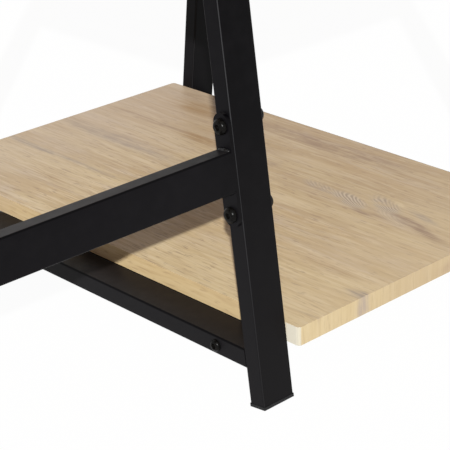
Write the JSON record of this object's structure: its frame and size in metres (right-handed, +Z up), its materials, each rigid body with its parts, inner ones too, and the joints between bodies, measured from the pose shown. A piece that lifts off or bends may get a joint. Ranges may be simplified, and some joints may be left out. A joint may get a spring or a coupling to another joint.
{
  "type": "desk",
  "caption": "Writing desk with an oak-look top on leaning black steel tube frames, an open shelf bay at one end and a low rear stretcher.",
  "frame": {"origin": "on the floor, under the middle of the desk top", "axes": "+X along the desk towards the user's right, +Y to the rear where the stretcher is, +Z up"},
  "size_m": [1.2, 0.5, 0.75],
  "materials": {
    "oak_board": "matt oak decor",
    "oak_edging": "matt oak decor",
    "black_tube": "satin black powder coat",
    "black_plastic": "fine matt",
    "black_screw": "black oxide",
    "zinc_steel": "bright zinc"
  },
  "bodies": {
    "root": {"desk_top": "oak_board", "desk_top_edging": "oak_edging", "desk_top_front_rail": "black_tube", "desk_top_rear_rail": "black_tube", "desk_top_screws": "zinc_steel", "frame_screws": "black_screw", "left_frame_front_foot": "black_plastic", "left_frame_front_leg": "black_tube", "left_frame_lower_bar": "black_tube", "left_frame_middle_bar": "black_tube", "left_frame_rear_foot": "black_plastic", "left_frame_rear_leg": "black_tube", "left_frame_top_bar": "black_tube", "lower_shelf": "oak_board", "lower_shelf_edging": "oak_edging", "lower_shelf_front_rail": "black_tube", "lower_shelf_rear_rail": "black_tube", "middle_frame_front_foot": "black_plastic", "middle_frame_front_leg": "black_tube", "middle_frame_lower_bar": "black_tube", "middle_frame_middle_bar": "black_tube", "middle_frame_rear_foot": "black_plastic", "middle_frame_rear_leg": "black_tube", "middle_frame_top_bar": "black_tube", "middle_shelf": "oak_board", "middle_shelf_edging": "oak_edging", "middle_shelf_front_rail": "black_tube", "middle_shelf_rear_rail": "black_tube", "rail_end_nuts": "zinc_steel", "rear_stretcher": "black_tube", "right_frame_front_foot": "black_plastic", "right_frame_front_leg": "black_tube", "right_frame_lower_bar": "black_tube", "right_frame_rear_foot": "black_plastic", "right_frame_rear_leg": "black_tube", "right_frame_top_bar": "black_tube", "shelf_screws": "zinc_steel", "stretcher_left_plate": "black_tube", "stretcher_nuts": "black_screw", "stretcher_right_plate": "black_tube", "stretcher_screws": "black_screw"}
  },
  "joints": []
}
